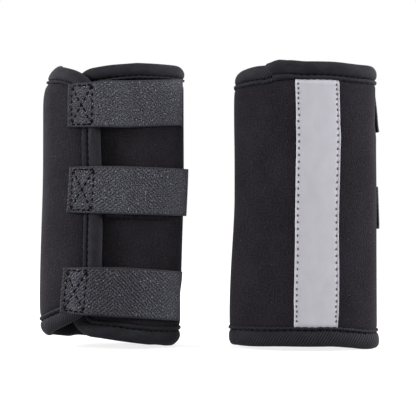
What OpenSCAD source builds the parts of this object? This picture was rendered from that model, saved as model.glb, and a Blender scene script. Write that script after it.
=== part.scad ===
// A pair of soft wrap-around sleeves. Each is one padded sheet, bound along its edges and rolled
// into an oval tube: a flap closes over a tucked end, and three hook straps hold it shut.
// In a sleeve's own frame its front, with the flap, faces -Y, its bottom edge lies at z = 0,
// and x = 0 is its middle line. The right sleeve stands turned end over end, showing its back.

/* [Sleeve] */
// Height of a sleeve, from its bottom edge to its top edge
sleeve_h = 158; // [130:1:190]
// Reach from the middle line to the fold that the flap swings on
fold_reach = 42; // [39:0.5:50]
// Half of the depth of the closed sleeve
half_depth = 25; // [23:0.5:30]
// Outer radius of the fold
fold_r = 16; // [13:0.5:18]
// Outer radius of the bend on the opposite side
bend_r = 13; // [11:0.5:15]
// Distance between the middle lines of the two sleeves
pair_pitch = 109; // [100:1:160]

/* [Sheet] */
// Thickness of the foam core
foam_t = 3; // [2:0.1:4]
// Thickness of the brushed outer fabric that the hooks hold on
loop_t = 0.6; // [0.4:0.1:1]
// Thickness of the knitted lining
lining_t = 0.4; // [0.3:0.1:0.8]
// Glue line between two plies
glue_gap = 0.1; // [0.05:0.05:0.2]

/* [Flap and tucked end] */
// Position of the flap's free edge from the middle line
flap_edge_x = -8; // [-12:0.5:0]
// Slope of the flap's top edge, which falls from the fold
flap_top_slope = 13; // [2:0.5:20]
// Slope of the flap's bottom edge, which rises from the fold
flap_bottom_slope = 30; // [2:0.5:32]
// Height of the flap's bottom edge at the fold
fold_rise = 3; // [0:0.5:6]
// Position of the tucked end's edge from the middle line
tuck_edge_x = -24; // [-27:0.5:-18]
// Position where the tucked end's bottom edge starts to rise
taper_x = 22; // [12:1:26]
// Slope of the tucked end's bottom edge
taper_slope = 8.5; // [2:0.5:12]
// Position where the tucked end's top edge starts to fall
top_taper_x = 13; // [10:1:26]
// Slope of the tucked end's top edge
top_taper_slope = 6.5; // [2:0.5:12]
// Radius of the flap's corners
flap_corner_r = 22; // [14:0.5:24]
// Radius of the tucked end's corners
tuck_corner_r = 16; // [13:0.5:22]

/* [Binding] */
// Width of the folded binding tape on each face
bind_w = 10.5; // [8:0.5:12]
// Thickness of the binding tape
bind_t = 0.6; // [0.4:0.1:0.8]
// Distance from the bound edge to the seam
seam_inset = 8; // [5:0.5:9]
// Width of a sewing thread
thread_w = 0.6; // [0.4:0.1:0.8]
// Height of a sewing thread above the cloth
thread_t = 0.3; // [0.2:0.1:0.4]

/* [Hook straps] */
// Width of a hook strap
strap_w = 25; // [15:0.5:30]
// Thickness of the woven strap tape
strap_t = 1.2; // [0.8:0.1:2]
// Position of the sewn end of the bottom, middle and top strap of the left sleeve
left_strap_x = [-27.5, -25.5, -25.5]; // [-33:0.5:-25]
// Left sleeve: bottom strap above the bottom edge, middle one above the mid-height, top one below the top edge
left_strap_z = [30.5, 7.5, 23]; // [-10:0.5:40]
// Length of the bottom, middle and top strap of the left sleeve that lies round the bend
left_strap_tip = [3, 11, 3.5]; // [2:0.5:11]
// Position of the sewn end of the bottom, middle and top strap of the right sleeve
right_strap_x = [-29, -27, -27]; // [-33:0.5:-25]
// Right sleeve: bottom strap above the bottom edge, middle one above the mid-height, top one below the top edge
right_strap_z = [23.5, 0, 25]; // [-10:0.5:40]
// Length of the bottom, middle and top strap of the right sleeve that lies round the bend
right_strap_tip = [11, 11, 3]; // [2:0.5:11]
// Length of the sewn end of a strap
anchor_l = 15; // [12:0.5:17]
// Distance from the edge of a sewn end to its box of stitches
box_inset = 2; // [1.5:0.1:3]
// Length of a strap that runs on level past the flap's edge
strap_level = 1; // [0.5:0.5:3]
// Length over which a strap steps down from the flap to the tucked end
strap_run = 18; // [14:1:24]

/* [Reflective strip] */
// Width of the reflective strip on the back
strip_w = 25; // [10:0.5:40]
// Thickness of the reflective strip
strip_t = 0.4; // [0.2:0.1:0.8]
// Position of the strip's middle from the middle line
strip_x = 4; // [-5:0.5:10]
// Distance from the strip's edge to its seam
strip_seam = 1.8; // [1:0.1:4]

/* [Clearances] */
// Gap between two cloth faces that are sewn together
sewn_gap = 0.1; // [0.05:0.05:0.2]
// Gap between pieces that move past each other
slide_gap = 0.4; // [0.3:0.05:0.8]
// Gap across the fold and across the bend of a strap
hinge_gap = 0.3; // [0.2:0.05:0.6]

/* [Hidden] */
SIDES = ["left", "right"];
LEVELS = ["bottom", "middle", "top"];
PANEL_PIECES = ["panel_loop_face", "panel_foam", "panel_lining", "panel_binding",
                "panel_binding_thread", "reflective_strip", "strip_thread"];
FLAP_PIECES = ["flap_loop_face", "flap_foam", "flap_lining", "flap_binding",
               "flap_binding_thread"];
STRAP_PIECES = ["strap_anchor", "strap_thread", "strap", "strap_hooks"];
NODES = [
    for (side = SIDES) each concat(
        [for (piece = PANEL_PIECES) str(side, "_", piece)],
        [for (piece = FLAP_PIECES) str(side, "_", piece)],
        [for (level = LEVELS) for (piece = STRAP_PIECES) str(side, "_", level, "_", piece)])];
node = "all";

// Turn of one straight step along a curve, in degrees
arc_step = 6;
// Half size of the blocks that trim a sheet, which stand out all round it
reach = 2 * (fold_reach + half_depth);
// Length by which a sheet runs past the outline that trims it
overrun = tuck_corner_r / 16;

// Plies, as depths below the sheet's outer face
foam_top = loop_t + glue_gap;
lining_top = foam_top + foam_t + glue_gap;
wall = lining_top + lining_t;

// Height of bound and sewn cloth above the sheet's face
seam_rise = sewn_gap + bind_t + sewn_gap + thread_t;
// Space that the bindings of flap and tucked end need between them
tuck_gap = 2 * seam_rise + slide_gap;
// Height of a strap's tape above the face that it lies on
strap_lift = seam_rise + sewn_gap;

// Oval of four arcs: the two broad faces share one radius and meet the fold tangentially
face_r = (fold_reach ^ 2 - 2 * fold_reach * fold_r + half_depth ^ 2) / (2 * (half_depth - fold_r));
face_y = face_r - half_depth;
fold_x = fold_r - fold_reach;
fold_turn = atan2(face_y, -fold_x);
// The tucked end runs inside the flap, about the same centre
tuck_r = face_r - wall - tuck_gap;
// The bend touches the back's arc and the tucked end's arc
bend_y = (face_r - tuck_r) * (face_r + tuck_r - 2 * bend_r) / (4 * face_y);
bend_x = sqrt((face_r - bend_r) ^ 2 - (bend_y + face_y) ^ 2);
bend_from = atan2(bend_y + face_y, bend_x);
bend_to = atan2(bend_y - face_y, bend_x);
fold_gap_turn = asin(hinge_gap / 2 / fold_r);

// Angle of the place at x on an arc of radius r round the front's centre
function front_angle(x, r) = -90 + asin(x / r);

// Arcs as [centre, radius, first angle, last angle], run clockwise seen from above
FLAP_ARCS = [
    [[0, face_y], face_r, front_angle(flap_edge_x + overrun, face_r), fold_turn - 180],
    [[fold_x, 0], fold_r, fold_turn - 180, fold_gap_turn - 180]];
PANEL_ARCS = [
    [[fold_x, 0], fold_r, 180 - fold_gap_turn, 180 - fold_turn],
    [[0, -face_y], face_r, 180 - fold_turn, bend_from],
    [[bend_x, bend_y], bend_r, bend_from, bend_to],
    [[0, face_y], tuck_r, bend_to, front_angle(tuck_edge_x - overrun, tuck_r)]];

function arcs_of(body) = body == "flap" ? FLAP_ARCS : PANEL_ARCS;
function ray(centre, r, angle) = centre + r * [cos(angle), sin(angle)];
function last(list) = list[len(list) - 1];
function backwards(list) = [for (i = [len(list) - 1:-1:0]) list[i]];
function steps(from, to) = ceil(abs(to - from) / arc_step);
function turns(from, to) = [for (i = [0:steps(from, to)]) from + (to - from) * i / steps(from, to)];

// Points of one arc, without its last one, at a depth below the outer face
function arc_trace(arc, depth) =
    let (angles = turns(arc[2], arc[3]))
    [for (i = [0:len(angles) - 2]) ray(arc[0], arc[1] - depth, angles[i])];

// Points along a chain of arcs at a depth below the outer face
function trace(arcs, depth) = concat(
    [for (arc = arcs) each arc_trace(arc, depth)],
    [ray(last(arcs)[0], last(arcs)[1] - depth, last(arcs)[3])]);

// Upright layer of a sheet between two depths below its outer face
module layer(body, outer, inner) {
    arcs = arcs_of(body);
    linear_extrude(height = sleeve_h) polygon(concat(trace(arcs, outer), backwards(trace(arcs, inner))));
}

// Lower end of a sheet, whose edge is at edge_x: a slope through [from_x, rise], then a corner of radius corner_r
function lower_end(edge_x, from_x, rise, slope, corner_r, inset) =
    let (corner_x = edge_x - corner_r,
         corner_z = rise + tan(slope) * (corner_x - from_x) + corner_r / cos(slope))
    concat(
        [[-reach, rise + tan(slope) * (-reach - from_x) + inset / cos(slope)]],
        [for (a = turns(slope - 90, 0)) ray([corner_x, corner_z], corner_r - inset, a)]);

function upside_down(points) = backwards([for (p = points) [p[0], sleeve_h - p[1]]]);
function mirrored(points) = [for (p = points) [-p[0], p[1]]];

// Outline of the flap seen from the front, drawn in by an inset
function flap_outline(inset) = concat(
    lower_end(flap_edge_x, -fold_reach, fold_rise, flap_bottom_slope, flap_corner_r, inset),
    upside_down(lower_end(flap_edge_x, -fold_reach, 0, flap_top_slope, flap_corner_r, inset)));

// Lower edge of the tucked end from the bend on, level and then sloping up to its corner
function tuck_end(from_x, slope, inset) =
    let (low = mirrored(lower_end(-tuck_edge_x, -from_x, 0, slope, tuck_corner_r, inset)))
    concat([[reach, inset], [from_x + inset * tan(slope / 2), inset]], [for (i = [1:len(low) - 1]) low[i]]);

// Outline of the tucked end, drawn in by an inset
function tuck_outline(inset) = concat(
    tuck_end(taper_x, taper_slope, inset),
    upside_down(tuck_end(top_taper_x, top_taper_slope, inset)));

// Outline of the back, whose lower edge falls from the fold
fall_slope = flap_bottom_slope / 2;
function back_outline(inset) = [
    [-reach, sleeve_h - inset],
    [-reach, fold_rise + tan(fall_slope) * (reach - fold_reach) + inset / cos(flap_bottom_slope)],
    [-fold_reach, fold_rise + inset / cos(flap_bottom_slope)],
    [-fold_reach + (fold_rise + inset / cos(flap_bottom_slope) - inset) / tan(fall_slope), inset],
    [reach, inset],
    [reach, sleeve_h - inset]];

// Block from y = from to y = to with an outline that is drawn as seen from the front
module upright(from, to) {
    translate([0, to, 0]) rotate([90, 0, 0]) linear_extrude(height = to - from) children();
}

// Space inside a sheet's outline, drawn in by an inset from its bound edges
module blank(body, inset) {
    if (body == "flap") {
        upright(-reach, reach) polygon(flap_outline(inset));
    } else {
        upright(-reach, 0) polygon(tuck_outline(inset));
        upright(0, reach) polygon(back_outline(inset));
    }
}

// One ply of a sheet, ending inside the fold of the binding
module ply(body, outer, inner) {
    intersection() {
        layer(body, outer, inner);
        blank(body, bind_t + sewn_gap);
    }
}

// Tape folded over a sheet's edges, open where the sheet enters it
module binding(body) {
    difference() {
        intersection() {
            layer(body, -sewn_gap - bind_t, wall + sewn_gap + bind_t);
            blank(body, 0);
        }
        intersection() {
            layer(body, -sewn_gap, wall + sewn_gap);
            blank(body, bind_t);
        }
        blank(body, bind_w);
    }
}

// One line of sewing on a binding, between two depths
module seam_line(body, outer, inner) {
    difference() {
        intersection() {
            layer(body, outer, inner);
            blank(body, seam_inset);
        }
        blank(body, seam_inset + thread_w);
    }
}

// Needle thread outside and bobbin thread inside
module binding_thread(body) {
    seam_line(body, -seam_rise, thread_t - seam_rise);
    seam_line(body, wall + seam_rise - thread_t, wall + seam_rise);
}

module panel_loop_face() { color("#2c2a2e") ply("panel", 0, loop_t); }
module panel_foam() { color("#3a3a3c") ply("panel", foam_top, foam_top + foam_t); }
module panel_lining() { color("#242326") ply("panel", lining_top, wall); }
module panel_binding() { color("#2f2f36") binding("panel"); }
module panel_binding_thread() { color("#17171a") binding_thread("panel"); }

module flap_loop_face() { color("#2c2a2e") ply("flap", 0, loop_t); }
module flap_foam() { color("#3a3a3c") ply("flap", foam_top, foam_top + foam_t); }
module flap_lining() { color("#242326") ply("flap", lining_top, wall); }
module flap_binding() { color("#2f2f36") binding("flap"); }
module flap_binding_thread() { color("#17171a") binding_thread("flap"); }

// Part of a thin layer over the back, from one x to another, between the two bindings
module back_patch(from, to, rise, thickness) {
    intersection() {
        layer("panel", -rise - thickness, -rise);
        translate([from, 0, bind_w + sewn_gap])
            cube([to - from, reach, sleeve_h - 2 * (bind_w + sewn_gap)]);
    }
}

module reflective_strip() {
    color("#bbb9c0") back_patch(strip_x - strip_w / 2, strip_x + strip_w / 2, sewn_gap, strip_t);
}

// The strip's two lines of sewing
module strip_thread() {
    line = strip_w / 2 - strip_seam;
    color("#3a3a40") for (at = [-line, line])
        back_patch(strip_x + at - thread_w / 2, strip_x + at + thread_w / 2, 2 * sewn_gap + strip_t, thread_t);
}

function strap_start(side, i) = side == "left" ? left_strap_x[i] : right_strap_x[i];
function strap_place(side, i) = side == "left" ? left_strap_z[i] : right_strap_z[i];
function strap_tip(side, i) = side == "left" ? left_strap_tip[i] : right_strap_tip[i];
function strap_z(side, i) =
    let (at = strap_place(side, i))
    [at, sleeve_h / 2 + at, sleeve_h - at][i];
// Angle round the bend where a strap ends
function strap_end(side, i) = bend_to + strap_tip(side, i) / bend_r * 180 / PI;
function strap_bend(side, i) = strap_start(side, i) + anchor_l;

// Points over the flap from one x to another, at a height above its outer face
function flap_trace(from, to, rise) =
    [for (a = turns(front_angle(from, face_r), front_angle(to, face_r))) ray([0, face_y], face_r + rise, a)];

function ease(t) = let (u = min(max(t, 0), 1)) u * u * (3 - 2 * u);

// Angles where a strap leaves the flap's edge and where it lies on the tucked end
leave_angle = front_angle(flap_edge_x + strap_level, face_r);
land_angle = front_angle(flap_edge_x + strap_level + strap_run, tuck_r);

// Distance of a strap's inner face from the front's centre
function strap_radius(angle) =
    let (t = ease((angle - leave_angle) / (land_angle - leave_angle)))
    (face_r * (1 - t) + tuck_r * t) + strap_lift;

// Points along a strap's free length at a height above its inner face
function strap_trace(side, i, rise) =
    let (first = front_angle(strap_bend(side, i) + hinge_gap, face_r),
         count = 2 * steps(first, bend_to))
    concat(
        [for (k = [0:count - 1]) let (a = first + (bend_to - first) * k / count)
            ray([0, face_y], strap_radius(a) + rise, a)],
        [for (a = turns(bend_to, strap_end(side, i))) ray([bend_x, bend_y], bend_r + strap_lift + rise, a)]);

// Points over the tucked end and the bend, from where a strap lies on them to its end
function hook_trace(side, i, rise) = concat(
    [for (a = turns(land_angle, bend_to - arc_step)) ray([0, face_y], tuck_r + rise, a)],
    [for (a = turns(bend_to, strap_end(side, i))) ray([bend_x, bend_y], bend_r + rise, a)]);

// Tape of a strap's width between an inner and an outer line of points
module tape(side, i, inner, outer) {
    translate([0, 0, strap_z(side, i) - strap_w / 2])
        linear_extrude(height = strap_w) polygon(concat(inner, backwards(outer)));
}

// Sewn end of a strap, with its hooks pressed into the flap between the bindings
module strap_anchor(side, i) {
    from = strap_start(side, i);
    to = strap_bend(side, i);
    color("#434349") {
        tape(side, i, flap_trace(from, to, strap_lift), flap_trace(from, to, strap_lift + strap_t));
        intersection() {
            tape(side, i, flap_trace(from, to, sewn_gap), flap_trace(from, to, strap_lift));
            blank("flap", bind_w + sewn_gap);
        }
    }
}

// Box of stitches with a cross in it, seen from the front
module box_stitch(length, height) {
    turn = atan2(height, length);
    difference() {
        square([length, height], center = true);
        square([length - 2 * thread_w, height - 2 * thread_w], center = true);
    }
    for (a = [-turn, turn])
        rotate(a) square([norm([length, height]) - 2 * thread_w, thread_w], center = true);
}

module strap_thread(side, i) {
    from = strap_start(side, i);
    to = strap_bend(side, i);
    rise = strap_lift + strap_t + sewn_gap;
    color("#131315") intersection() {
        tape(side, i, flap_trace(from, to, rise), flap_trace(from, to, rise + thread_t));
        upright(-reach, 0) translate([(from + to) / 2, strap_z(side, i)])
            box_stitch(anchor_l - 2 * box_inset, strap_w - 2 * box_inset);
    }
}

// Free length of a strap, from its bend beside the sewn end to its tip
module strap(side, i) {
    color("#434349") tape(side, i, strap_trace(side, i, 0), strap_trace(side, i, strap_t));
}

// Field of hooks under a strap, where it meets the brushed fabric clear of the binding
module strap_hooks(side, i) {
    color("#26262a") intersection() {
        tape(side, i, hook_trace(side, i, sewn_gap), hook_trace(side, i, strap_lift - sewn_gap));
        blank("panel", bind_w + sewn_gap);
    }
}

// Middle of a sleeve's width, from the thread on its fold to the strap round its bend
sleeve_mid = (bend_x + bend_r + strap_lift + strap_t - fold_reach - seam_rise) / 2;

// The left sleeve shows its front, and the right one is turned end over end
module place(side) {
    if (side == "left") translate([-pair_pitch / 2 - sleeve_mid, 0, 0]) children();
    else translate([pair_pitch / 2 - sleeve_mid, 0, sleeve_h]) rotate([180, 0, 0]) children();
}

function drawn(side, piece) = node == "all" || node == str(side, "_", piece);

for (side = SIDES) {
    if (drawn(side, "panel_loop_face")) place(side) panel_loop_face();
    if (drawn(side, "panel_foam")) place(side) panel_foam();
    if (drawn(side, "panel_lining")) place(side) panel_lining();
    if (drawn(side, "panel_binding")) place(side) panel_binding();
    if (drawn(side, "panel_binding_thread")) place(side) panel_binding_thread();
    if (drawn(side, "reflective_strip")) place(side) reflective_strip();
    if (drawn(side, "strip_thread")) place(side) strip_thread();
    if (drawn(side, "flap_loop_face")) place(side) flap_loop_face();
    if (drawn(side, "flap_foam")) place(side) flap_foam();
    if (drawn(side, "flap_lining")) place(side) flap_lining();
    if (drawn(side, "flap_binding")) place(side) flap_binding();
    if (drawn(side, "flap_binding_thread")) place(side) flap_binding_thread();
    for (i = [0:len(LEVELS) - 1]) {
        if (drawn(side, str(LEVELS[i], "_strap_anchor"))) place(side) strap_anchor(side, i);
        if (drawn(side, str(LEVELS[i], "_strap_thread"))) place(side) strap_thread(side, i);
        if (drawn(side, str(LEVELS[i], "_strap"))) place(side) strap(side, i);
        if (drawn(side, str(LEVELS[i], "_strap_hooks"))) place(side) strap_hooks(side, i);
    }
}
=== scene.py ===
"""Cloth, binding, sewing and straps of a pair of wrap sleeves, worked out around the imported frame.

Lengths are in millimetres until stand() puts a point into the frame, in metres. A sheet is described
by s, the length round the sleeve from the flap's free edge, and z, the height above its bottom edge.
"""
from functools import partial, partialmethod

import bpy
import numpy as np
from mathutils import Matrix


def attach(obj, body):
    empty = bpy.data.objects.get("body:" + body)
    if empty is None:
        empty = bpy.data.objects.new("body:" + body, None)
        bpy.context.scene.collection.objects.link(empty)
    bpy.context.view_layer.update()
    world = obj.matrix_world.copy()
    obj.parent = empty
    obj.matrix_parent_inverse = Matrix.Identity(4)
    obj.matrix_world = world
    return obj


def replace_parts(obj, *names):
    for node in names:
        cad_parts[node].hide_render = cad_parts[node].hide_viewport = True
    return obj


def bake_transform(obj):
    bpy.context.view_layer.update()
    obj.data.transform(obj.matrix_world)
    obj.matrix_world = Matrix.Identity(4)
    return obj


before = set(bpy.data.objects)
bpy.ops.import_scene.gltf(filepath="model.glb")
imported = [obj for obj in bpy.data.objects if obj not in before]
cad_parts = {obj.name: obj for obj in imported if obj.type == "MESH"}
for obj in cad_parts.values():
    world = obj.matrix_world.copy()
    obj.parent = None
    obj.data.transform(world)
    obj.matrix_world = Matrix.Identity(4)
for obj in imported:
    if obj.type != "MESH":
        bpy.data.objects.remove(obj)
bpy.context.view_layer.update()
rng = np.random.default_rng(11)

# Sizes that the part's source also uses
SLEEVE_H, FOLD_REACH, HALF_DEPTH = 158.0, 42.0, 25.0
FOLD_R, BEND_R, PAIR_PITCH = 16.0, 13.0, 109.0
LOOP_T, FOAM_T, LINING_T, GLUE = 0.6, 3.0, 0.4, 0.1
FLAP_EDGE_X, FLAP_TOP_SLOPE, FLAP_BOTTOM_SLOPE, FOLD_RISE = -8.0, 13.0, 30.0, 3.0
TUCK_EDGE_X, TAPER_X, TAPER_SLOPE, TOP_TAPER_X, TOP_TAPER_SLOPE = -24.0, 22.0, 8.5, 13.0, 6.5
FLAP_CORNER_R, TUCK_CORNER_R = 22.0, 16.0
BIND_W, BIND_T, SEAM_INSET, SEAM_RISE, SLIDE_GAP = 10.5, 0.6, 8.0, 1.1, 0.4
STRAP_W, STRAP_T, STRAP_LEVEL, STRAP_RUN = 25.0, 1.2, 1.0, 18.0
STRIP_W, STRIP_T, STRIP_X = 25.0, 0.4, 4.0

# Corner at the top of the tucked end, and how far inside its binding's edge cloth ends
TUCK_TOP_CORNER_R, CLOTH_INSET = 13.0, 0.8
# Sewn length of a strap, and sewing lines in from its sewn end, its other edges and the strip's edges
ANCHOR_L, BOX_START, BOX_INSET, STRIP_SEAM = 16.8, 2.7, 1.6, 1.5
# Steps between the stitches of a box, and between all others
BOX_STITCH, STITCH = 3.4, 3.7
# Radii in metres of the threads of bindings, strips and boxes, and of hooks
BIND_THREAD_R, STRIP_THREAD_R, BOX_THREAD_R, HOOK_R = 0.0005, 0.00042, 0.00048, 0.00014
# Places along a stitch, from one end to the other
ALONG = np.linspace(-1, 1, 5)[None]
# UV of a millimetre of cloth, and the length along u that each strap has to itself
UV_MM, STRAP_U = 0.01, 120.0

FOAM_TOP = LOOP_T + GLUE
LINING_TOP = FOAM_TOP + FOAM_T + GLUE
WALL = LINING_TOP + LINING_T
STRAP_LIFT = SEAM_RISE + GLUE
FACE_R = (FOLD_REACH ** 2 - 2 * FOLD_REACH * FOLD_R + HALF_DEPTH ** 2) / (2 * (HALF_DEPTH - FOLD_R))
FACE_Y = FACE_R - HALF_DEPTH
FOLD_X = FOLD_R - FOLD_REACH
FOLD_TURN = np.arctan2(FACE_Y, -FOLD_X)
TUCK_R = FACE_R - WALL - 2 * SEAM_RISE - SLIDE_GAP
BEND_Y = (FACE_R - TUCK_R) * (FACE_R + TUCK_R - 2 * BEND_R) / (4 * FACE_Y)
BEND_X = np.sqrt((FACE_R - BEND_R) ** 2 - (BEND_Y + FACE_Y) ** 2)
BEND_FROM = np.arctan2(BEND_Y + FACE_Y, BEND_X)
BEND_TO = np.arctan2(BEND_Y - FACE_Y, BEND_X)
SLEEVE_MID = (BEND_X + BEND_R + STRAP_LIFT + STRAP_T - FOLD_REACH - SEAM_RISE) / 2


def front_angle(x, r):
    """Angle of the place at x on an arc of radius r round the front's centre."""
    return np.arcsin(x / r) - np.pi / 2


def summed(steps):
    """Running total of steps, starting at 0."""
    return np.concatenate([[0], np.cumsum(steps)])


def length_along(points):
    """Length from the first of a line of points to each."""
    return summed(np.linalg.norm(np.diff(points, axis=0), axis=1))


def paired(a, b):
    """Two lengths spread to one shape and put side by side."""
    return np.stack(np.broadcast_arrays(a, b), -1)


def unit(vectors):
    """Directions of vectors, with length 1."""
    return vectors / np.linalg.norm(vectors, axis=-1, keepdims=True)


# Half a turn and a full one
HALF, FULL = np.pi, 2 * np.pi
# The sheet's outer face as five arcs, run clockwise seen from above: centre, radius, first and last angle
ARCS = np.array([
    (0, FACE_Y, FACE_R, front_angle(FLAP_EDGE_X, FACE_R), FOLD_TURN - HALF),
    (FOLD_X, 0, FOLD_R, FOLD_TURN - HALF, -HALF - FOLD_TURN),
    (0, -FACE_Y, FACE_R, -HALF - FOLD_TURN, BEND_FROM - FULL),
    (BEND_X, BEND_Y, BEND_R, BEND_FROM - FULL, BEND_TO - FULL),
    (0, FACE_Y, TUCK_R, BEND_TO - FULL, front_angle(TUCK_EDGE_X, TUCK_R) - FULL)])
ARC_X, ARC_Y, ARC_R, ARC_TURN, ARC_END = ARCS.T
ARC_START = summed(ARC_R * (ARC_TURN - ARC_END))
SHEET_L = ARC_START[-1]
S_FOLD = ARC_START[1] + FOLD_R * FOLD_TURN
S_BEND = (ARC_START[3] + ARC_START[4]) / 2


def back_s(x):
    """Length along the sheet at the place x on its back."""
    return ARC_START[2] + FACE_R * (np.pi - FOLD_TURN - np.arccos(x / FACE_R))


S_MID = back_s(STRIP_X)


def ease(t):
    """Smooth step from 0 at t = 0 to 1 at t = 1."""
    u = np.clip(t, 0, 1)
    return u * u * (3 - 2 * u)


def bell(t):
    """Rounded bump of height 1 at t = 0."""
    return np.exp(-t * t)


def ripple(a, b, seed):
    """Gentle unevenness between about -1 and 1: four sine waves across two lengths, set by a seed."""
    waves = np.random.default_rng(seed).uniform(-1, 1, (4, 3))
    total = 0
    for u, v, phase in waves:
        total = total + np.sin(a * (0.05 + 0.07 * u) + b * (0.05 + 0.07 * v) + 6 * phase)
    return total / 2.5


def sheet_path(s):
    """Centre, radius and angle of the outer face at length s, from the arc that s falls in."""
    i = np.clip(np.searchsorted(ARC_START, s, side="right") - 1, 0, len(ARC_R) - 1)
    return ARC_X[i], ARC_Y[i], ARC_R[i], ARC_TURN[i] - (s - ARC_START[i]) / ARC_R[i]


def sheet_x(s):
    """Place x of the outer face at length s."""
    cx, _, r, turn = sheet_path(s)
    return cx + r * np.cos(turn)


def end_height(x, edge_x, from_x, rise, slope, corner_r):
    """Lower edge of a sheet's end: a slope through [from_x, rise], then a round corner up to edge_x."""
    tilt = np.radians(slope)
    corner_x = edge_x - corner_r
    corner_z = rise + np.tan(tilt) * (corner_x - from_x) + corner_r / np.cos(tilt)
    corner = corner_z - np.sqrt(np.maximum(corner_r ** 2 - (x - corner_x) ** 2, 0))
    return np.where(x < corner_x + corner_r * np.sin(tilt), rise + np.tan(tilt) * (x - from_x), corner)


def low_edge(s):
    """Height of the sheet's bottom edge at s: flap, back that sinks past the fold, tucked end."""
    x = sheet_x(s)
    flap = end_height(x, FLAP_EDGE_X, -FOLD_REACH, FOLD_RISE, FLAP_BOTTOM_SLOPE, FLAP_CORNER_R)
    back = FOLD_RISE - 0.6 * ease((x + FOLD_REACH) / 12) - 2.4 * ease((x + 26) / 9)
    tuck = np.maximum(end_height(-x, -TUCK_EDGE_X, -TAPER_X, 0, TAPER_SLOPE, TUCK_CORNER_R), 0)
    return np.where(s < S_FOLD, flap, np.where(s < S_BEND, back, tuck))


def high_edge(s):
    """Height of the sheet's top edge at s: level along the back, falling towards both ends."""
    x = sheet_x(s)
    flap = end_height(x, FLAP_EDGE_X, -FOLD_REACH, 0, FLAP_TOP_SLOPE, FLAP_CORNER_R)
    tuck = np.maximum(end_height(-x, -TUCK_EDGE_X, -TOP_TAPER_X, 0, TOP_TAPER_SLOPE, TUCK_TOP_CORNER_R), 0)
    return SLEEVE_H - np.where(s < S_FOLD, flap, np.where(s < S_BEND, 0, tuck))


def evenly(points, step):
    """The same line of points, resampled about a step apart."""
    run = length_along(points)
    at = np.linspace(0, run[-1], int(round(run[-1] / step)) + 1)
    return paired(*(np.interp(at, run, line) for line in points.T))


# Length s at which each half of a sheet ends, and how far that is from the middle of the back
FREE_EDGE = {"flap": 0.0, "tuck": SHEET_L}
HALF_FLAT = {half: abs(S_MID - edge) for half, edge in FREE_EDGE.items()}


def half_s(half, from_edge):
    """Length s at a distance from the free edge of a half."""
    return from_edge if half == "flap" else SHEET_L - from_edge


def half_outline(half):
    """Bound edge of one half of a sheet in s and z, from its bottom at the middle of the back round the
    free edge to its top there. Corners are sampled closely, then the line is evened and eased."""
    turn = 1 - np.cos(np.linspace(0, np.pi / 2, 60))
    s = half_s(half, np.concatenate([turn[:-1] * 25, np.linspace(25, HALF_FLAT[half], 140)]))
    low, high = paired(s, low_edge(s)), paired(s, high_edge(s))
    line = evenly(np.concatenate([low[::-1], high]), 0.5)
    kernel = bell(np.arange(-6, 7) / 3.0)
    padded = np.concatenate([2 * line[0] - line[6:0:-1], line, 2 * line[-1] - line[-2:-8:-1]])
    eased = paired(*(np.convolve(line, kernel / kernel.sum(), "valid") for line in padded.T))
    return evenly(eased, 1.0)


OUTLINES = {half: half_outline(half) for half in FREE_EDGE}
WHOLE_OUTLINE = np.concatenate(list(OUTLINES.values()))


def edge_gap(s, z):
    """Distance in the flat sheet from each place to the nearest bound edge."""
    places = paired(s.ravel(), z.ravel())
    gaps = [np.linalg.norm(part[:, None] - WHOLE_OUTLINE[None], axis=2).min(1)
            for part in np.array_split(places, max(1, len(places) // 2000))]
    return np.concatenate(gaps).reshape(s.shape)


# How each sleeve has settled: pulls are [middle s, spread, own edge, depth, reach from that edge]
PULLS = {
    "left": [(S_FOLD, 22, "high", 8.0, 26), (S_FOLD, 22, "low", 3.2, 22), (S_BEND, 26, "high", 2.0, 14),
             (S_BEND, 26, "low", 3.8, 18)],
    "right": [(S_FOLD, 22, "low", 3.8, 20), (S_BEND, 22, "low", 1.15, 16), (S_FOLD, 22, "high", 1.9, 20)]}


def sag(side, s, z):
    """Shift of the sheet along its outward normal: edges drawn in, and small waves."""
    shift = 0.22 * ripple(s, z, 3 if side == "left" else 5)
    for middle, spread, edge, depth, reach in PULLS[side]:
        gap = z - low_edge(s) if edge == "low" else high_edge(s) - z
        shift = shift - depth * np.clip(1 - gap / reach, 0, 1.2) ** 2.8 * bell((s - middle) / spread)
    return shift


def press(gap):
    """Depth to which the binding presses the foam near a bound edge, deepest along its seam."""
    return 1.15 * (1 - ease((gap - 8.2) / 4.6)) + 0.45 * bell(gap - SEAM_INSET)


# Lift of both sleeves, so that their lowest corner rests on the floor
STAND_LIFT = 0.9


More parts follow.
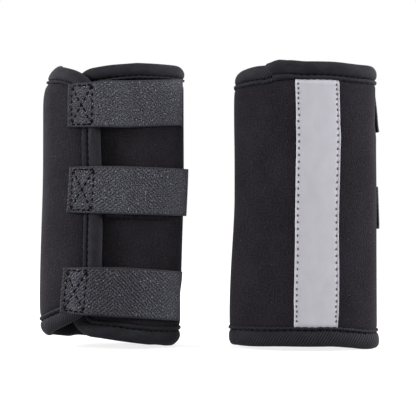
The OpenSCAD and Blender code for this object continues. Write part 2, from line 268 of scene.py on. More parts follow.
def stand(side, x, y, z):
    """Point of a sleeve's own frame put in the pair, in metres: the right one is turned end over end. The
    left one leans towards its foot, is drawn up round its bottom edge, and sags at the back beside the
    fold. The right one widens towards its foot and rests on its corner by the bend."""
    share = (x + FOLD_REACH) / (FOLD_REACH + BEND_X + BEND_R)
    if side == "left":
        fold = 1.0 + 2.1 * (1 - ease((x + 43) / 22)) - ease((x + 14) / 8)
        ahead, back = ease((8 - y) / 16), ease(y / 12)
        front = 1.35 * ease((x + 14) / 8) * ahead
        behind = 2.1 * (ease((x + 27.5) / 9) - ease((x + 8) / 14)) + 0.5 * bell((x + 15.5) / 3)
        behind = behind * back * (1 - ease(z / 30))
        rim = 5.0 * bell((x + 22) / 15) * back * ease((z - 100) / 58)
        rim = rim + 1.3 * bell((x + 40) / 8) * ease((z - 120) / 38)
        arch = 0.45 * bell((x + 29.5) / 6) + 0.4 * bell((x + 3) / 9)
        arch = arch * ahead * ease((z - 110) / 48)
        heel = 0.9 * bell((x - 30) / 5) * (1 - ease(z / 20))
        up = z * 1.0108 + (fold + front) * (1 - ease(z / 45)) + behind - rim + arch - heel
        across = x - PAIR_PITCH / 2 - SLEEVE_MID + 0.1 + 0.15 * share - 1.7 * ease((105 - up) / 80)
        across = across - 0.5 * share * ease((38 - up) / 9) * ease((up - 2) / 8)
        deep = y
    else:
        above = ease((SLEEVE_H - z - 60) / 60)
        up = SLEEVE_H - z + 1.6 - (1.6 - 0.6 * above) * ease((x - 10) / 20)
        up = up - 0.8 * ease((x - 22) / 12) * (1 - above)
        up = up + 0.8 * ease((x + 40) / 12) * (1 - ease((x + 12) / 10)) * ease((up - 100) / 50)
        up = up - 0.8 * (1 - ease((x + 34) / 22)) * (1 - ease(up / 50))
        up = up - 2.0 * (1 - ease((x + 45) / 8)) * (1 - ease(up / 30))
        fold_side = 0.4 - 0.3 * ease((up - 105) / 30) - 3.0 * ease((85 - up) / 65)
        bend_side = -0.2 + 0.8 * ease((126 - up) / 9) + 0.4 * ease((75 - up) / 40)
        across = x + PAIR_PITCH / 2 - SLEEVE_MID + fold_side * (1 - share) + bend_side * share
        deep = -y
    across, deep, up = np.broadcast_arrays(across, deep, up + STAND_LIFT)
    return np.stack([across, deep, up], -1) * 0.001


def flap_lean(side, s, z):
    """How much further than cut the left flap's free edge reaches, most of all above its bottom strap."""
    if side == "right":
        return 0.0
    return 2.6 * ease((40 - s) / 34) * ease((135 - z) / 85) * ease((z - 8) / 20)


def on_sheet(side, s, z, rise):
    """Point at length s and height z, a rise above the sheet's outer face, after the sheet has settled."""
    cx, cy, r, turn = sheet_path(s - flap_lean(side, s, z))
    out = r + rise + sag(side, s, z)
    return stand(side, cx + out * np.cos(turn), cy + out * np.sin(turn), z)


def put(name, data):
    """New object at the origin."""
    thing = bpy.data.objects.new(name, data)
    bpy.context.scene.collection.objects.link(thing)
    return thing


def put_mesh(name, points, faces, uv, finish):
    """Object from vertices, quads and a UV per vertex, turned so that its volume is positive."""
    a, b, c, d = (points[faces[:, k]] for k in range(4))
    if np.sum(a * (np.cross(b, c) + np.cross(c, d))) < 0:
        faces = faces[:, ::-1]
    mesh = bpy.data.meshes.new(name)
    mesh.vertices.add(len(points))
    mesh.vertices.foreach_set("co", points.astype(np.float32).ravel())
    mesh.loops.add(faces.size)
    mesh.loops.foreach_set("vertex_index", faces.astype(np.int32).ravel())
    mesh.polygons.add(len(faces))
    mesh.polygons.foreach_set("loop_start", np.arange(0, faces.size, 4, dtype=np.int32))
    mesh.update(calc_edges=True)
    layer = mesh.uv_layers.new(name="cloth")
    layer.uv.foreach_set("vector", (uv[faces.ravel()] * UV_MM).astype(np.float32).ravel())
    mesh.polygons.foreach_set("use_smooth", np.ones(len(faces), bool))
    mesh.set_sharp_from_angle(angle=np.radians(60))
    mesh.materials.append(finish)
    return put(name, mesh)


def slab(name, outer, inner, uv, finish):
    """Closed cloth: an outer and an inner grid of points, and a rim of faces round them."""
    rows, columns = outer.shape[:2]
    count = rows * columns
    index = np.arange(count).reshape(rows, columns)
    face = np.stack([index[:-1, :-1], index[1:, :-1], index[1:, 1:], index[:-1, 1:]], -1).reshape(-1, 4)
    ring = np.concatenate([index[:-1, 0], index[-1, :-1], index[:0:-1, -1], index[0, :0:-1]])
    after = np.roll(ring, -1)
    rim = np.stack([after, ring, ring + count, after + count], -1)
    points = np.concatenate([outer.reshape(-1, 3), inner.reshape(-1, 3)])
    both = np.concatenate([uv.reshape(-1, 2)] * 2)
    return put_mesh(name, points, np.concatenate([face, face[:, ::-1] + count, rim]), both, finish)


def cords(name, lines, up, radius, finish, flat=1.0):
    """Short rounded threads: each point of a line carries a ring of six, high by flat times its width and
    smaller at the two ends, which two quads close."""
    count, rings = lines.shape[:2]
    along = np.gradient(lines, axis=1)
    wide = unit(np.cross(along, up))
    high = unit(np.cross(wide, along))
    turn = np.arange(6) * np.pi / 3
    size = radius * (1 - 0.55 * np.abs(np.linspace(-1, 1, rings)) ** 4)[None, :, None, None]
    points = lines[:, :, None] + size * (wide[:, :, None] * np.cos(turn)[:, None]
                                         + flat * high[:, :, None] * np.sin(turn)[:, None])
    index = np.arange(count * rings * 6).reshape(count, rings, 6)
    around = np.roll(index, -1, axis=2)
    side = np.stack([index[:, :-1], around[:, :-1], around[:, 1:], index[:, 1:]], -1).reshape(-1, 4)
    first, last = index[:, 0], index[:, -1]
    caps = np.concatenate([first[:, [3, 2, 1, 0]], first[:, [5, 4, 3, 0]],
                           last[:, [0, 1, 2, 3]], last[:, [0, 3, 4, 5]]])
    uv = paired(np.linspace(0, 1, rings)[None, :, None] + np.arange(count)[:, None, None], turn)
    return put_mesh(name, points.reshape(-1, 3), np.concatenate([side, caps]), uv.reshape(-1, 2), finish)


def sew(name, seams, radius, thread):
    """Flat threads along seams: for each a function from a rise to places, and the rise that it lies at."""
    lines = [place(rise) for place, rise in seams]
    ups = [place(rise + 1) - line for (place, rise), line in zip(seams, lines)]
    return cords(name, np.concatenate(lines), np.concatenate(ups), radius, thread, 0.8)


class Shade:
    """A socket in a material's tree. Operators on it add Math nodes, and node() makes any other node."""

    def __init__(self, tree, socket=None):
        self.tree, self.socket = tree, socket

    def node(self, kind, settings=(), inputs=(), out=0):
        """New node with settings, and a value or a link for some sockets. Gives one of its outputs."""
        made = self.tree.nodes.new(kind)
        for name, value in dict(settings).items():
            setattr(made, name, value)
        for key, value in dict(inputs).items():
            if isinstance(value, Shade):
                self.tree.links.new(value.socket, made.inputs[key])
            else:
                made.inputs[key].default_value = value
        return Shade(self.tree, made.outputs[out])

    def output(self, name):
        """Another output of the same node."""
        return Shade(self.tree, self.socket.node.outputs[name])

    def math(self, operation, *others):
        return self.node("ShaderNodeMath", {"operation": operation}, dict(enumerate((self, *others))))

    __add__, __sub__ = partialmethod(math, "ADD"), partialmethod(math, "SUBTRACT")
    __mul__, __truediv__ = partialmethod(math, "MULTIPLY"), partialmethod(math, "DIVIDE")
    __lt__ = partialmethod(math, "LESS_THAN")
    sine, size = partialmethod(math, "SINE"), partialmethod(math, "ABSOLUTE")

    def __rsub__(self, other):
        return self.math("MULTIPLY_ADD", -1.0, other)

    def step(self, start, end, low=0.0, high=1.0):
        """Smooth step from low at start to high at end."""
        return self.node("ShaderNodeMapRange", {"interpolation_type": "SMOOTHSTEP"},
                         {0: self, 1: start, 2: end, 3: low, 4: high})

    def mix(self, first, second):
        """Colour between two colours, each a Shade or an sRGB triple, by this value."""
        first, second = (c if isinstance(c, Shade) else srgb(c) for c in (first, second))
        return self.node("ShaderNodeMix", {"data_type": "RGBA", "clamp_factor": True},
                         {0: self, 6: first, 7: second}, 2)

    def vector(self, x, y):
        return self.node("ShaderNodeCombineXYZ", (), {0: x, 1: y})

    def noise(self, x, y, detail=2.0, rough=0.5):
        """Noise between 0 and 1 over two lengths."""
        return self.node("ShaderNodeTexNoise", {"noise_dimensions": "2D"},
                         {"Vector": self.vector(x, y), "Scale": 1.0, "Detail": detail, "Roughness": rough})

    def cells(self, x, y):
        """Distance over two lengths from the middle of the nearest of many random cells."""
        return self.node("ShaderNodeTexVoronoi", {"voronoi_dimensions": "2D"},
                         {"Vector": self.vector(x, y), "Scale": 1.0})


def srgb(colour):
    """Linear colour of an sRGB one."""
    c = np.array(colour) / 255
    linear = np.where(c <= 0.04045, c / 12.92, ((c + 0.055) / 1.055) ** 2.4)
    return (*map(float, linear), 1.0)


def cloth_base(name, *looks):
    """New material with a Principled shader of these looks, and its cloth UV in millimetres."""
    material = bpy.data.materials.new(name)
    material.use_nodes = True
    tree = material.node_tree
    for key, value in zip(("Roughness", "Sheen Weight", "Sheen Roughness", "Specular IOR Level"), looks):
        tree.nodes["Principled BSDF"].inputs[key].default_value = value
    at = Shade(tree).node("ShaderNodeUVMap", {"uv_map": "cloth"})
    split = at.node("ShaderNodeSeparateXYZ", (), {0: at})
    return material, split * (1 / UV_MM), split.output(1) * (1 / UV_MM)


def dress(material, colour, height, strength, depth, roughness=None):
    """Feeds a colour, a bump height in shares of a depth, and a roughness into a material's shader."""
    tree = material.node_tree
    shader = tree.nodes["Principled BSDF"]
    tree.links.new(colour.socket, shader.inputs["Base Color"])
    bump = colour.node("ShaderNodeBump", (), {"Strength": strength, "Distance": depth, "Height": height})
    tree.links.new(bump.socket, shader.inputs["Normal"])
    if roughness is not None:
        tree.links.new(roughness.socket, shader.inputs["Roughness"])
    return material


def lint(u, v, cell, share, radius):
    """Specks: 1 inside a small circle round the middle of a share of the cells of a random pattern."""
    where = u.cells(u / cell, v / cell)
    chance = u.node("ShaderNodeSeparateXYZ", (), {0: where.output("Color")})
    return where.step(radius, radius * 0.4) * (chance < share)


def brushed_knit(name, dark, light):
    """Brushed loop fabric: short upright wales, matted nap, faint clouds and a little lint."""
    material, u, v = cloth_base(name, 0.95, 0.05, 0.4, 0.08)
    wale = u.noise(u * 1.25, v * 0.2, 2.0, 0.6)
    nap = u.noise(u * 1.5, v * 1.1, 2.0, 0.6)
    cloud = u.noise(u * 0.06, v * 0.04)
    shade = wale * 0.25 + nap * 0.65 + cloud * 0.2
    colour = shade.step(0.3, 0.85).mix(dark, light)
    speck = lint(u, v, 7.0, 0.3, 0.035) * 0.4 + lint(u + 3.1, v + 5.7, 3.0, 0.15, 0.06) * 0.18
    colour = speck.mix(colour, (128, 126, 132))
    return dress(material, colour, wale * 0.3 + nap * 0.7, 0.6, 0.0005)


def twill_tape(name, dark, light, pitch, lean):
    """Twill binding: slanted, wavering ribs broken into yarns. They are worn faint in patches, and show
    best along the flap's bottom edge and the top edge of the back."""
    material, u, v = cloth_base(name, 0.85, 0.03, 0.4, 0.15)
    waver = u.noise(u * 0.4, v * 0.4)
    rib = ((u * np.sin(lean) - v * np.cos(lean)) * (FULL / pitch) + waver * 1.6).sine()
    yarn = u.noise(u * 1.2, v * 1.2)
    patch = u.noise(u * 0.12, v * 0.3)
    fresh = (u.step(275.0, 295.0) + u.step(-315.0, -335.0)) * 0.3
    fresh = fresh + u.step(5.0, 30.0) * u.step(118.0, 100.0) * 0.2
    worn = (fresh + 0.08) * u.noise(u * 0.05 + 4.0, v * 0.12).step(0.3, 0.7, 0.5, 1.3)
    shade = rib * worn + yarn * 0.3 + patch * 0.35 + 0.27
    return dress(material, shade.step(0.2, 1.0).mix(dark, light), rib * worn + yarn * 0.3, 0.8, 0.0004)


def hook_tape(name):
    """Woven back of hook tape: heathered grey with light flecks and smooth selvedges. Its ribs slant up
    and down along the strap, after a broad zigzag of u. It has painted shade at the sewn end, for longer on
    the bottom strap, and painted light that makes it paler at the tip."""
    material, u, v = cloth_base(name, 0.8, 0.0, 0.4, 0.12)
    waver = u.noise(u * 0.25, v * 0.25)
    zigzag = u.math("PINGPONG", 30.0)
    from_end = (u + 20.0).math("MODULO", STRAP_U)
    # painted shade: darker towards each strap's sewn end, and along the middle of the bottom strap
    painted_shade = from_end.step(31.0, 22.0) * 0.5 + u.step(12.0, 21.0) * u.step(56.0, 34.0) * 0.38
    strength = u.step(STRAP_U / 2, 2 * STRAP_U, 0.26, 0.1)
    rib = ((v - zigzag * 0.8) * (FULL / 2.0) + waver * 3.0).sine() * strength
    grain = u.noise(u * 1.6, v * 1.7, 1.0)
    fleck = u.noise(u + 7.0, v * 1.1, 1.0)
    inside = v.size().step(12.0, 11.2)
    weave = (rib + grain * 2.3 - 0.65) * inside + (1 - inside) * (grain * 0.5 + 0.1)
    colour = weave.step(-0.1, 1.1).mix((5, 5, 6), (88, 88, 96))
    colour = (fleck.step(0.66, 0.78) * inside * 0.8).mix(colour, (150, 150, 160))
    colour = painted_shade.mix(colour, (8, 8, 10))
    # painted light: paler towards each strap's tip
    painted_light = from_end.step(74.0, 90.0) * 0.09
    colour = painted_light.mix(colour, (150, 150, 160))
    return dress(material, colour, weave, 0.6, 0.0004)


def reflective_tape(name):
    """Silver tape: mottled glass beads, paler along both edges, with painted shade outside one line of
    stitches.
    """
    material, u, v = cloth_base(name, 0.5, 0.0, 0.5, 0.4)
    bead = u.noise(u * 2.0, v * 2.0, 3.0, 0.65)
    cloud = u.noise(u * 0.15, v * 0.1)
    edge = u.size().step(9.6, 11.6)
    shade = bead * 0.35 + cloud * 0.18 + edge * 0.14 + 0.08
    colour = shade.step(0.15, 0.8).mix((172, 170, 178), (206, 204, 210))
    # painted shade: the margin outside the stitches on one side is darkened
    colour = (u.step(10.7, 11.4) * 0.45).mix(colour, (112, 110, 118))
    return dress(material, colour, bead, 0.35, 0.0002, bead.step(0.2, 0.8, 0.42, 0.6))


def sewing_thread(name, dark, light, roughness=0.55):
    """Twisted thread: slanted plies along each stitch."""
    material, u, v = cloth_base(name, roughness, 0.0, 0.4, 0.06)
    ply = (u * 14.0 + v * 2.0).sine() * 0.5 + 0.5
    fuzz = u.noise(u * 3.0, v * 3.0)
    return dress(material, (ply * 0.6 + fuzz * 0.4).mix(dark, light), ply, 0.5, 0.0002)


def foam_core(name):
    """Cut foam: fine closed cells."""
    material, u, v = cloth_base(name, 0.9, 0.0, 0.5, 0.3)
    cells = u.cells(u / 0.5, v / 0.5)
    return dress(material, cells.step(0.1, 0.7).mix((30, 30, 32), (62, 62, 65)), cells, 0.6, 0.0004)


def hook_nylon(name, dark, light, roughness, specular):
    """Moulded hooks or the tape they stand on: dark nylon, a little uneven in shade."""
    material, u, v = cloth_base(name, roughness, 0.0, 0.5, specular)
    shade = u.noise(u * 0.7, v * 0.7)
    return dress(material, shade.step(0.3, 0.7).mix(dark, light), shade, 0.2, 0.0002)


# The binding's ribs meet where it closes: their pitch goes into its length a whole number of times
BIND_L = sum(len(line) - 1 for line in OUTLINES.values())
RIB_LEAN = 2.25
RIB_PITCH = BIND_L * np.sin(RIB_LEAN) / round(BIND_L * np.sin(RIB_LEAN) / 1.2)
KNIT = brushed_knit("brushed_loop_knit", (19, 17, 20), (46, 43, 49))
LINING = brushed_knit("lining_knit", (17, 16, 18), (34, 33, 36))
TWILL = twill_tape("binding_twill", (4, 4, 5), (43, 43, 50), RIB_PITCH, RIB_LEAN)
HOOK_TAPE = hook_tape("heathered_hook_tape")
SILVER = reflective_tape("reflective_silver")
BLACK_THREAD = sewing_thread("black_sewing_thread", (3, 3, 4), (12, 12, 14), 0.8)
GREY_THREAD = sewing_thread("grey_sewing_thread", (50, 50, 55), (92, 92, 98))
FOAM = foam_core("foam_cells")
NYLON = hook_nylon("hook_nylon", (28, 28, 31), (58, 58, 63), 0.4, 0.5)
HOOK_BASE = hook_nylon("hook_base_nylon", (9, 9, 10), (24, 23, 26), 0.9, 0.1)


def joined(side, half, piece):
    """Bakes a piece of the flap's half where it stands, and lets one of the tucked half ride on the sleeve.
    """
    if half == "tuck":
        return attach(piece, f"{side}_sleeve")
    fold = stand(side, -FOLD_REACH, np.array([10.0, -10.0]), SLEEVE_H / 2)
    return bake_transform(piece)


def half_grid(half):
    """Lengths s and heights z over half a sheet, closer together at its corners, ending in the binding."""
    wide = (FLAP_CORNER_R if half == "flap" else TUCK_CORNER_R) + 1
    corner = wide * (1 - np.cos(np.linspace(0, np.pi / 2, 18)))[:-1]
    from_edge = np.concatenate([corner, np.linspace(wide, HALF_FLAT[half] - CLOTH_INSET, 66)])
    s = half_s(half, CLOTH_INSET + from_edge)[:, None]
    low, high = low_edge(s) + CLOTH_INSET, high_edge(s) - CLOTH_INSET
    return np.broadcast_arrays(s, low + (high - low) * np.linspace(0, 1, 111)[None])


GRIDS = {half: half_grid(half) for half in FREE_EDGE}
GAPS = {half: edge_gap(*GRIDS[half]) for half in GRIDS}


def half_area(half):
    """Flat area of one half of a sheet in square metres, summed over its columns."""
    s = np.linspace(*sorted((S_MID, FREE_EDGE[half])), 400)
    return float(np.mean(high_edge(s) - low_edge(s)) * (s[-1] - s[0]) * 1e-6)


def ply(side, half, name, outer, inner, finish):
    """One ply of half a sheet between two depths below its outer face. Depths shrink towards the middle
    of the wall where the binding presses it."""
    s, z = GRIDS[half]
    squeeze = 1 - press(GAPS[half]) / (WALL / 2)
    faces = [on_sheet(side, s, z, WALL / 2 * (squeeze - 1) - depth * squeeze) for depth in (outer, inner)]
    return joined(side, half, slab(name, *faces, paired(s, z), finish))


def smooth_line(points, count):
    """Curve through points: cubic pieces whose slopes are those between neighbours, at even steps."""
    p = np.array(points, float)
    slope = np.gradient(p, axis=0)
    t = np.linspace(0, len(p) - 1, count)
    i = np.minimum(t.astype(int), len(p) - 2)
    f = (t - i)[:, None]
    return (p[i] * (1 + 2 * f) * (1 - f) ** 2 + slope[i] * f * (1 - f) ** 2
            + p[i + 1] * f * f * (3 - 2 * f) + slope[i + 1] * f * f * (f - 1))


# Middle of the folded tape in a section: distance in from the bound edge, height above the sheet's middle
TAPE_HALF = [(10.4, 1.75), (10.0, 2.3), (9.4, 2.55), (8.8, 2.1), (8.35, 1.45), (8.0, 1.15), (7.65, 1.45),
             (7.1, 2.1), (6.2, 2.6), (4.6, 2.9), (2.8, 2.7), (1.4, 2.0), (0.6, 1.1)]
TAPE = smooth_line(TAPE_HALF + [(0.35, 0.0)] + [(d, -e) for d, e in TAPE_HALF[::-1]], 105)
TAPE_RUN = length_along(TAPE)


def tape_section(bulge=0.0):
    """Outer and inner line of the tape's section: its middle line plus and minus half its thickness, which
    rounds off at the two folded edges."""
    along = np.gradient(TAPE, axis=0)
    normal = unit(paired(along[:, 1], -along[:, 0]))
    end = np.minimum(TAPE_RUN, TAPE_RUN[-1] - TAPE_RUN) / 0.45
    half = BIND_T / 2 * np.sqrt(np.clip(1 - (1 - np.clip(end, 0, 1)) ** 2, 0.04, 1))
    return TAPE + normal * (half + bulge)[:, None], TAPE + normal * (bulge - half)[:, None]


# The tape is sewn at another width along each sleeve's top edge and high up the free edges: distances in
# from the edge, as made and as sewn
TAPE_MADE = (0, 1.4, 2.8, 5, SEAM_INSET, 10.4, 20)
TAPE_SEWN = {"left": (0, 1.35, 2.7, 4.7, 7.3, 8.8, 18.4), "right": (0, 1.0, 2.3, 5.3, 9.2, 11.0, 20.6)}
TAPE_FREE = (0, 1.2, 2.4, 4.3, 7.0, 10.5, 20.1)


def sewn_at(side, d, z):
    """Distance in from the bound edge after sewing, for a place d in where the edge is at height z."""
    top = ease((z - 118) / 22)
    free = ease((z - 68) / 30) * (1 - top)
    along_top, along_free = (np.interp(d, TAPE_MADE, sewn) - d for sewn in (TAPE_SEWN[side], TAPE_FREE))
    return d + top * along_top + free * along_free


def edge_frame(half):
    """Points of a half's bound edge, the inward directions in the flat sheet, and the length along it."""
    line = OUTLINES[half]
    along = unit(np.gradient(line, axis=0))
    inward = paired(along[:, 1], -along[:, 0])
    inward *= np.sign(np.sum(inward * ([S_MID, SLEEVE_H / 2] - line)))
    return line, inward, np.arange(len(line))


def seam_wave(run, seed):
    """Small unevenness along a seam: three sine waves of different lengths."""
    phase = np.random.default_rng(seed).uniform(0, FULL, 3)
    return (np.sin(run / 4.1 + phase[0]) + np.sin(run / 7.7 + phase[1]) + np.sin(run / 17 + phase[2])) / 3


def binding(side, half):
    """Tape folded over the bound edge: its section carried along the outline. Stitches draw it in at the
    groove, and its inner edge wavers, and lies lower along the free edges."""
    line, inward, run = edge_frame(half)
    edge_z, run = line[:, 1:], run[:, None]
    free_edge = ease((edge_z - 22) / 12) * (1 - ease((edge_z - 118) / 22))
    beat = np.cos(run * FULL / STITCH)
    grids = []
    for section in tape_section():
        d, e = section.T[:, None]
        waver = 0.3 * seam_wave(run, 21) * ease(d / 10) - 0.2 * beat * ease((d - 8.6) / 1.4)
        swell = 0.25 * beat * bell((d - SEAM_INSET) / 1.3) + 0.12 * seam_wave(run, 22) * bell((d - 4.5) / 3)
        swell = (swell - 0.45 * free_edge * bell((d - 9.5) / 0.8)) * np.sign(e)
        inset = sewn_at(side, d, edge_z) + waver
        s, z = line[:, :1] + inward[:, :1] * inset, edge_z + inward[:, 1:] * inset
        grids.append(on_sheet(side, s, z, e + swell - WALL / 2))
    way = 1 if half == "flap" else -1
    uv = paired(way * run, TAPE_RUN[None])
    piece = slab(f"{side}_{half}_half_binding", *grids, uv, TWILL)
    return joined(side, half, piece)


def binding_stitches(side, half):
    """Needle and bobbin stitches in the groove of the binding: short threads that dive in at both ends."""
    line, inward, run = edge_frame(half)
    middle = np.arange(STITCH / 2, run[-1], STITCH)
    at = middle[:, None] + 0.32 * STITCH * ALONG
    dive = 0.6 * ALONG ** 4
    inset = sewn_at(side, SEAM_INSET, line[:, 1])
    place = [np.interp(at, run, line[:, k] + inward[:, k] * inset) for k in (0, 1)]
    seams = [(partial(on_sheet, side, *place), sign * (1.62 - dive) - WALL / 2) for sign in (1, -1)]
    piece = sew(f"{side}_{half}_half_binding_stitches", seams, BIND_THREAD_R, BLACK_THREAD)
    return joined(side, half, piece)


# Where the binding's ends meet on the bottom edge of each back, how high one lies, and the lap's length
LAP_X = {"left": 12.0, "right": -23.5}
LAP_RISE = {"left": 0.5, "right": 0.9}
LAP_L = 26.0


def tape_lap(side):
    """Where the binding's two ends meet: the upper one's folded end lies slanted over the lower one, and
    sinks into the tape past it."""
    share = np.linspace(0, 1, 40)[:, None]
    middle_d, middle_e = TAPE.T[:, None]
    grids = []
    for section in tape_section(LAP_RISE[side]):
        d, e = section.T[:, None]
        s = back_s(LAP_X[side]) - 2.0 + 0.6 * np.clip(d, 0, BIND_W) + LAP_L * share
        fade = 1 - 1.5 * ease(share) - 0.5 * (1 - np.clip(share / 0.03, 0, 1)) ** 2
        z = low_edge(s) + middle_d + (d - middle_d) * fade
        grids.append(on_sheet(side, s, z, middle_e + (e - middle_e) * fade - WALL / 2))
    uv = paired(LAP_L * share, TAPE_RUN[None])
    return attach(slab(f"{side}_binding_lap", *grids, uv, TWILL), f"{side}_sleeve")


def strip_place(across, z):
    """Length s and height of the face under the strip at a distance across from its middle. It leans one
    way and the other, is drawn in here and there, and its edges waver."""
    narrow = 0.99 - 0.01 * ease((z - 40) / 15) - 0.017 * bell((z - 106) / 20) - 0.045 * ease((z - 125) / 25)
    lean = 0.45 * bell((z - 31) / 14) - 0.6 * bell((z - 85) / 25) - 0.25 * ease((z - 138) / 8) - 0.2
    s = S_MID + across * (narrow + 0.006 * seam_wave(z, 31)) + lean
    return s, -press(np.minimum(z - low_edge(s), high_edge(s) - z))


def reflective_strip(side):
    """Silver tape up the back between the bindings, drawn down along its two lines of stitches."""
    across = STRIP_W / 2 * np.sin(np.linspace(-1, 1, 41) * np.pi / 2)[:, None]
    z = np.linspace(BIND_W - 0.6, SLEEVE_H - BIND_W + 0.6, 260)[None]
    s, face = strip_place(across, z)
    line = STRIP_W / 2 - STRIP_SEAM
    dip = 0.2 * bell((np.abs(across) - line) / 0.8) * (0.65 + 0.35 * np.cos(z * FULL / STITCH))
    half = STRIP_T * np.sqrt(np.clip(1 - (np.abs(across) / (STRIP_W / 2)) ** 40, 0.05, 1))
    grids = [on_sheet(side, s, z, face + rise - dip) for rise in (0.12 + half, 0.12)]
    uv = paired(across, z)
    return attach(slab(f"{side}_silver_strip", *grids, uv, SILVER), f"{side}_sleeve")


def strip_stitches(side):
    """Two columns of short stitches, one along each edge of the strip, closer together towards its ends:
    grey needle thread outside and black bobbin thread on the lining."""
    fine = np.linspace(BIND_W + 2.5, SLEEVE_H - BIND_W - 2, 400)
    ends = np.minimum(fine - fine[0], fine[-1] - fine)
    length = STITCH * (0.68 + 0.32 * ease(ends / 26))
    count = summed(np.diff(fine) / length[1:])
    z = np.interp(np.arange(int(count[-1]) + 1), count, fine)
    line = STRIP_W / 2 - STRIP_SEAM
    across = np.repeat([-line, line], len(z))[:, None] + rng.normal(0, 0.12, (2 * len(z), 1))
    at = np.tile(z, 2)[:, None] + 0.75 * ALONG
    across = np.broadcast_to(across, at.shape)
    s, face = strip_place(across, at)
    dive = 0.35 * ALONG ** 4
    pieces = []
    for name, rise, thread in (("strip_stitches", face + 0.5 - dive, GREY_THREAD),
                               ("strip_bobbin_stitches", dive - WALL - 0.15, BLACK_THREAD)):
        seam = (partial(on_sheet, side, s, at), rise)
        stitches = sew(f"{side}_{name}", [seam], STRIP_THREAD_R, thread)
        pieces.append(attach(stitches, f"{side}_sleeve"))
    return pieces


# Straps: sewn end x, height there, length round the bend, tilt of the free length in degrees, slant of
# the two ends, extra width at the sewn end and at the tip, looseness
STRAPS = {
    ("left", "bottom"): (-27.3, 32.3, 4.5, -5.7, 0.09, 0.075, 0.9, 3.6, 0.0),
    ("left", "middle"): (-25.0, 87.65, 7.7, -1.7, 0.05, 0.035, 0.3, 1.5, 0.0),
    ("left", "top"): (-25.5, 133.6, 3.5, 4.2, 0.0, 0.02, -0.9, 0.8, 0.0),
    ("right", "bottom"): (-29.0, 23.5, 8.5, 0.0, 0.04, 0.26, 0.0, 2.4, 0.0),
    ("right", "middle"): (-27.0, 79.0, 9.9, 0.0, 0.03, 0.10, 0.0, -1.6, -0.4),
    ("right", "top"): (-27.0, 133.0, 3.0, 0.0, -0.04, 0.02, 0.0, 0.4, 0.0)}
LEVELS = ("bottom", "middle", "top")
HOOKS_FROM_X = -4.0
# Room for hooks under a strap that isn't drawn tight, and the longest that stay clear of each sleeve's knit
HOOK_ROOM, HOOK_L = 0.75, {"left": 0.75, "right": 0.55}
# Steps between hooks along and across a strap, and how far from its middle line they reach
HOOK_STEP, HOOK_ROW, HOOK_REACH = 1.5, 1.4, 9.8
# Half width of the tape that carries the hooks, and of one sewn on askew
BASE_HALF, ASKEW_HALF = 10.6, 12.1
# Points of a strap's line over the front, those that surely run left to right, and points round the bend
FRONT_POINTS, RISING, BEND_POINTS = 260, slice(200), 60
# How nearly the tips of a sleeve's straps stand straight off the bend, from 0 to 1
STIFF = {"left": 0.8, "right": 0.0}
# The left middle strap's hook tape is askew and shows below it: drop where the hooks begin, and later
ASKEW = {("left", "middle"): (1.7, 2.8)}
LEAVE_ANGLE = front_angle(FLAP_EDGE_X + STRAP_LEVEL, FACE_R)
LAND_ANGLE = front_angle(FLAP_EDGE_X + STRAP_LEVEL + STRAP_RUN, TUCK_R)


class Strap:
    """Line of one strap's inner face: over the flap, its edge and the tucked end, and round the bend."""

    def __init__(self, side, level):
        self.side, self.level, self.name = side, level, f"{side}_{level}"
        x, self.z, tip, tilt, self.start_slant, self.tip_slant, *self.extra, loose = STRAPS[side, level]
        self.tilt = np.tan(np.radians(tilt))
        angle = np.linspace(front_angle(x - 3, FACE_R), BEND_TO, FRONT_POINTS)
        down = ease((angle - LEAVE_ANGLE) / (LAND_ANGLE - LEAVE_ANGLE))
        over = ease((FACE_R * np.cos(angle) + 24) / 5.5)
        r = FACE_R * (1 - down) + TUCK_R * down + 0.35 + (STRAP_LIFT - 0.35) * over
        bend = np.linspace(BEND_TO, BEND_TO + (tip + 8) / BEND_R, BEND_POINTS)[1:]
        straight = (BEND_R + STRAP_LIFT) * (1 / np.cos(np.minimum(bend - BEND_TO, 1.2)) - 1)
        slack = loose * ease((bend - BEND_TO) * BEND_R / (tip + 4))
        lift = BEND_R + STRAP_LIFT + slack + STIFF[side] * straight
        self.x = np.concatenate([r * np.cos(angle), BEND_X + lift * np.cos(bend)])
        self.y = np.concatenate([FACE_Y + r * np.sin(angle), BEND_Y + lift * np.sin(bend)])
        run = length_along(paired(self.x, self.y))
        self.run = run - np.interp(x, self.x[RISING], run[RISING])
        self.down = np.concatenate([down, np.ones(len(bend))])
        self.bent_from = self.run[FRONT_POINTS - 1]
        self.length = self.bent_from + tip
        self.hook_length = min(HOOK_L[side], HOOK_ROOM + loose)
        self.hooked_from = np.interp(HOOKS_FROM_X, self.x[RISING], self.run[RISING])
        self.out_x, self.out_y = unit(np.gradient(paired(self.y, -self.x), axis=0)).T

    def height(self, t, w):
        """Height of a place on the strap, whose middle line leaves its sewn end's level in a soft curve."""
        first, last = self.extra
        past = t - 27
        leave = 0.5 * (past + np.sqrt(past ** 2 + 18 ** 2))
        return self.z + w * (1 + (first + (last - first) * ease(t / 40)) / STRAP_W) + self.tilt * leave

    def inside(self, t, w, depth):
        """Place on the flap's lining behind a place on the strap, a depth below the lining."""
        x = np.interp(t, self.run, self.x)
        s = FACE_R * (ARC_TURN[0] - front_angle(x, FACE_R))
        return on_sheet(self.side, s, self.height(t, w), -WALL - depth)

    def point(self, t, w, rise):
        """Place at length t from the sewn end, w up from the middle line, a rise above the inner face."""
        x, y, out_x, out_y, down = (np.interp(t, self.run, line) for line in
                                    (self.x, self.y, self.out_x, self.out_y, self.down))
        z = self.height(t, w)
        flap_s = FACE_R * (ARC_TURN[0] - front_angle(np.clip(x, -34, 8) - 8, FACE_R))
        give = sag(self.side, np.clip(flap_s, 0, S_FOLD), z) * (1 - down)
        return stand(self.side, x + out_x * (rise + give), y + out_y * (rise + give), z)


